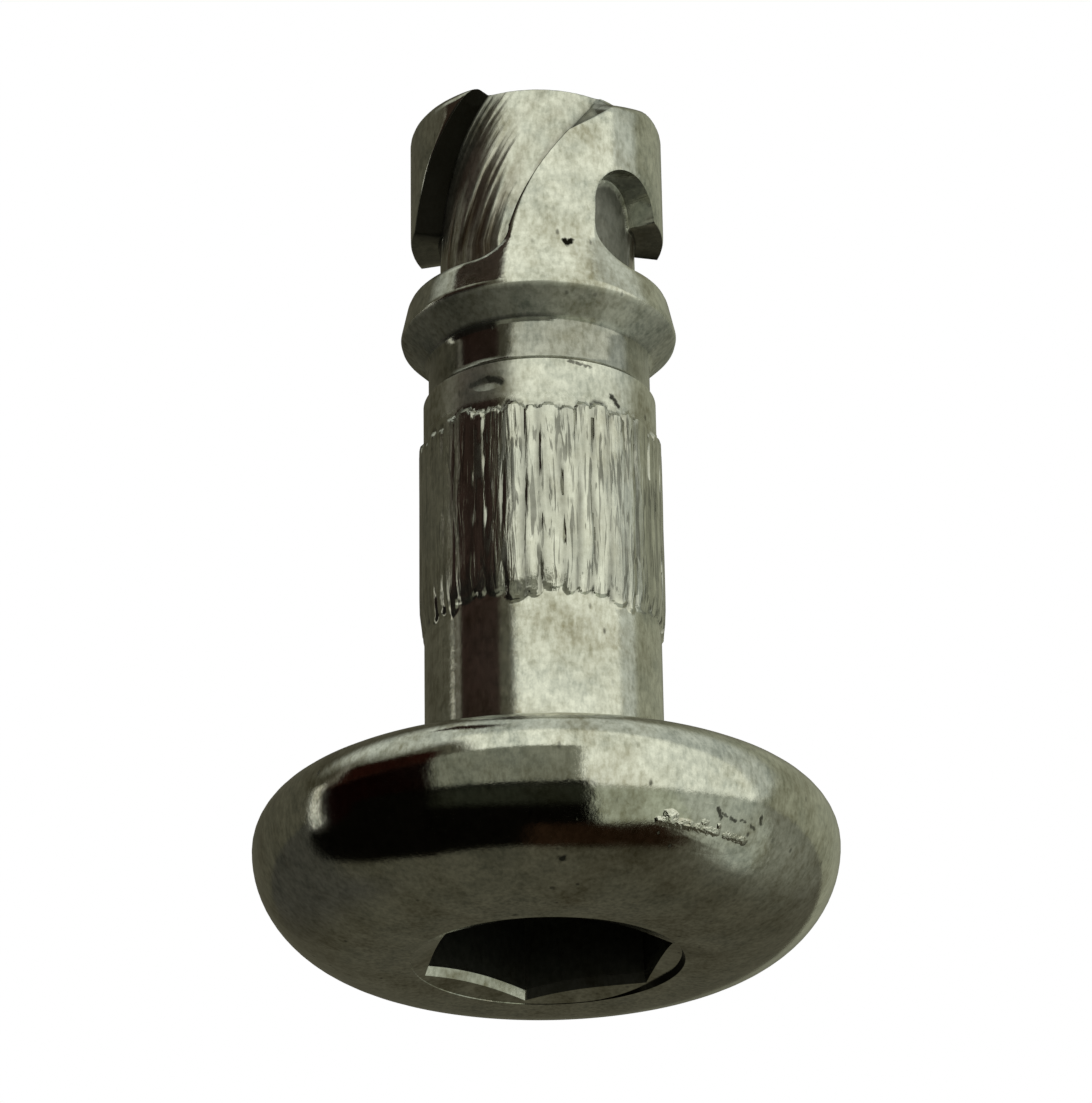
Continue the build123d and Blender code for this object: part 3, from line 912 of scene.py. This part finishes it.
# Flags near the stud that only its reflections show: centre, the point each one faces, width and height,
# all in mm, and colour
flags = [
    ("grey_flag", (-10.75, -36.0, 6.05), (-10.75, 0.0, 6.05), 37.5, 22.9, "#808273"),
    ("brown_flag", (-8.3, -6.7, 29.0), (-1.9, -3.0, 19.5), 9.0, 4.4, "#2c1c14"),
]


def standFlags():
    # They are close, so the low head and the tall shank see them at different heights
    for name, centre, target, width, height, colour in flags:
        mesh = bpy.data.meshes.new(name)
        corners = np.array([(-1, -1, 0), (1, -1, 0), (1, 1, 0), (-1, 1, 0)]) * (width / 2, height / 2, 0)
        mesh.from_pydata(corners * mm, [], [(0, 1, 2, 3)])
        board = bpy.data.objects.new(name, mesh)
        bpy.context.scene.collection.objects.link(board)
        turned = (Vector(target) - Vector(centre)).to_track_quat("Z", "Y").to_matrix().to_4x4()
        board.matrix_world = Matrix.Translation(Vector(centre) * mm) @ turned
        material = bpy.data.materials.new(name)
        material.use_nodes = True
        material.node_tree.nodes.clear()
        glow = addNode(material.node_tree, "ShaderNodeEmission", {"Color": linear(colour), "Strength": 1.0})
        addNode(material.node_tree, "ShaderNodeOutputMaterial", {"Surface": glow.outputs[0]})
        mesh.materials.append(material)
        for ray in ("camera", "diffuse", "transmission", "shadow", "volume_scatter"):
            setattr(board, "visible_" + ray, False)


photo = {"width": 1092, "height": 1103, "focalPixels": 4430.0, "crownX": 548, "crownY": 962}
view = {"distance": 119.3, "pitch": 23.8, "roll": -0.9}


def aimCamera():
    # The camera looks up at the stud from in front; the middle of the crown falls on its own pixel
    pitch, roll = math.radians(view["pitch"]), math.radians(view["roll"])
    ahead = Vector((0, math.cos(pitch), math.sin(pitch)))
    right, up = Vector((1, 0, 0)), Vector((0, -math.sin(pitch), math.cos(pitch)))
    right, up = right * math.cos(roll) + up * math.sin(roll), up * math.cos(roll) - right * math.sin(roll)
    perPixel = view["distance"] / photo["focalPixels"]
    aside = (photo["crownX"] - photo["width"] / 2) * perPixel
    below = (photo["height"] / 2 - photo["crownY"]) * perPixel
    place = -(ahead * view["distance"] + right * aside + up * below) * mm
    lens = bpy.data.cameras.new("camera")
    lens.sensor_fit, lens.sensor_height = "VERTICAL", 36.0
    lens.lens = lens.sensor_height * photo["focalPixels"] / photo["height"]
    lens.clip_start = 0.001
    camera = bpy.data.objects.new("camera", lens)
    bpy.context.scene.collection.objects.link(camera)
    turned = Matrix((right, up, -ahead)).transposed()
    camera.matrix_world = Matrix.Translation(place) @ turned.to_4x4()
    bpy.context.scene.camera = camera


lightStudio()
layFloor()
standFlags()
aimCamera()
bpy.context.scene.view_settings.view_transform = "Standard"
print("stage set")
